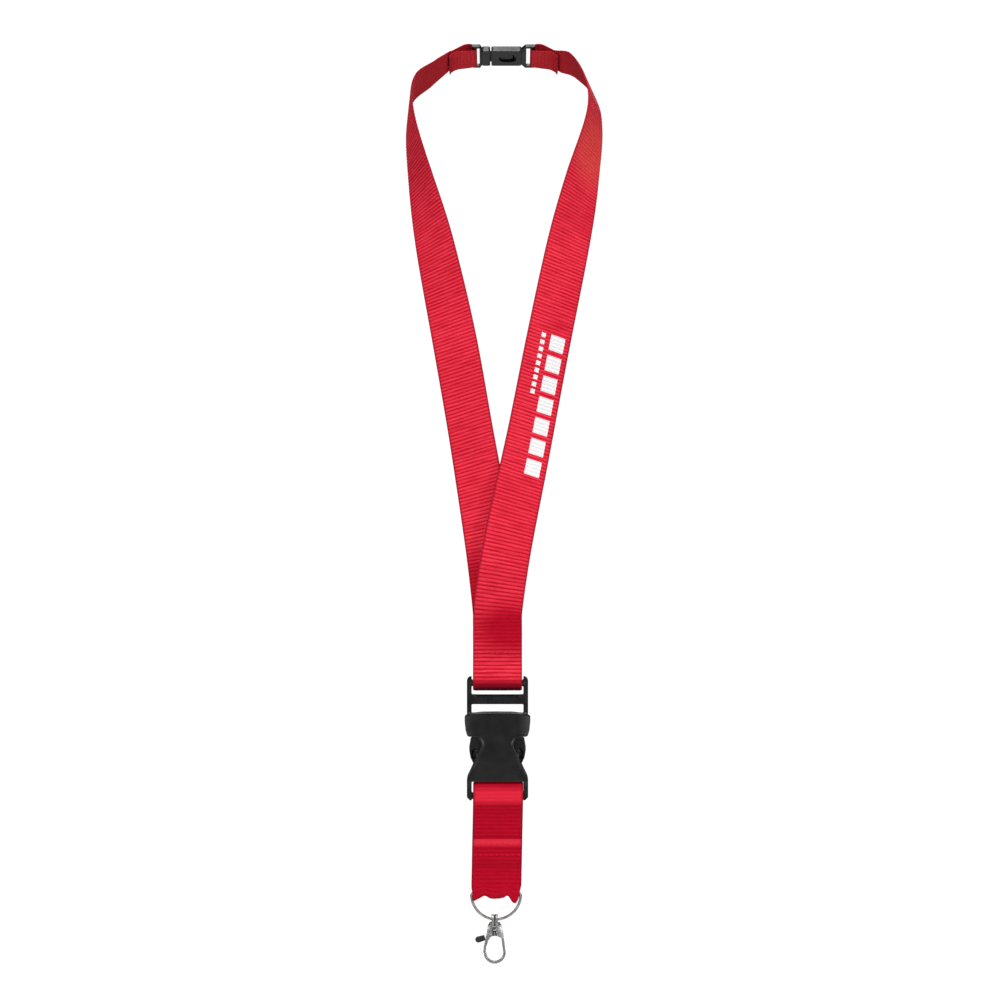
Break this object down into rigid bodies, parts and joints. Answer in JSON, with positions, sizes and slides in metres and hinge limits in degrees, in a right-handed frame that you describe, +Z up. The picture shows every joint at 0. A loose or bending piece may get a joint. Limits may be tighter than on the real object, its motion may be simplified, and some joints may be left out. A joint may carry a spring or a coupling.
{
  "type": "lanyard",
  "caption": "Webbing neck lanyard with a breakaway nape clip, side-release buckle, drop strap, D-ring and swivelling trigger hook.",
  "frame": {"origin": "the middle of the nape, on the lanyard's middle plane, where the neck loop rests and the breakaway clip sits", "axes": "+Z up, -Y to the wearer's front where the buckle and hook hang, +X to the side on which the clip's socket lies"},
  "size_m": [0.1087, 0.1518, 0.4912],
  "materials": {
    "webbing": "ribbed weave",
    "thread": "twisted thread",
    "plastic": "fine moulded texture",
    "steel": "polished",
    "tab": "smooth"
  },
  "bodies": {
    "neck": {"neck_strap_right": "webbing", "yoke_loop": "webbing", "right_end_stitching": "thread", "yoke_stitching": "thread", "breakaway_socket": "plastic"},
    "neck_left": {"neck_strap_left": "webbing", "left_end_stitching": "thread", "breakaway_plug": "plastic"},
    "buckle_plug": {"buckle_plug_frame": "plastic"},
    "arm_left": {"buckle_arm_left": "plastic"},
    "arm_right": {"buckle_arm_right": "plastic"},
    "buckle_shell": {"buckle_socket": "plastic"},
    "drop": {"drop_strap": "webbing", "drop_strap_stitching": "thread"},
    "ring": {"d_ring": "steel"},
    "swivel": {"swivel_eye": "steel", "swivel_collar": "steel"},
    "hook": {"hook_body": "steel", "gate_pin": "steel", "gate_spring": "steel"},
    "gate": {"gate_lever": "steel", "thumb_tab": "tab"}
  },
  "joints": [
    {"name": "breakaway_open", "type": "hinge", "parent": "neck", "child": "neck_left", "pos_m": [0, -0.14, -0.324], "axis": [0, -1, 0], "range_deg": [0, 12], "deforming": ["neck_strap_left"]},
    {"name": "buckle_pivot", "type": "hinge", "parent": "neck", "child": "buckle_plug", "pos_m": [0, -0.14, -0.3444], "axis": [1, 0, 0], "range_deg": [-60, 60]},
    {"name": "squeeze_left", "type": "hinge", "parent": "buckle_plug", "child": "arm_left", "pos_m": [-0.0112, -0.14, -0.3632], "axis": [0, -1, 0], "range_deg": [0, 8], "stiffness_Nm_per_rad": 0.01},
    {"name": "squeeze_right", "type": "hinge", "parent": "buckle_plug", "child": "arm_right", "pos_m": [0.0112, -0.14, -0.3632], "axis": [0, 1, 0], "range_deg": [0, 8], "stiffness_Nm_per_rad": 0.01},
    {"name": "buckle_release", "type": "slide", "parent": "buckle_plug", "child": "buckle_shell", "axis": [0, 0, -1], "range_m": [0, 0.028], "deforming": ["buckle_arm_left", "buckle_arm_right"]},
    {"name": "drop_swing", "type": "hinge", "parent": "buckle_shell", "child": "drop", "pos_m": [0, -0.14, -0.4008], "axis": [1, 0, 0], "range_deg": [-60, 60]},
    {"name": "ring_swing", "type": "hinge", "parent": "drop", "child": "ring", "pos_m": [0, -0.14, -0.4494], "axis": [1, 0, 0], "range_deg": [-80, 80]},
    {"name": "eye_swing", "type": "hinge", "parent": "ring", "child": "swivel", "pos_m": [-0.0014, -0.14, -0.4626], "axis": [1, 0, 0], "range_deg": [-60, 60]},
    {"name": "hook_spin", "type": "hinge", "parent": "swivel", "child": "hook", "pos_m": [-0.0014, -0.14, -0.4668], "axis": [0, 0, 1], "continuous": true},
    {"name": "gate_open", "type": "hinge", "parent": "hook", "child": "gate", "pos_m": [-0.0036, -0.14, -0.4696], "axis": [0, -1, 0], "range_deg": [0, 25], "stiffness_Nm_per_rad": 0.002, "springref_deg": -85.94, "deforming": ["gate_spring"]}
  ]
}
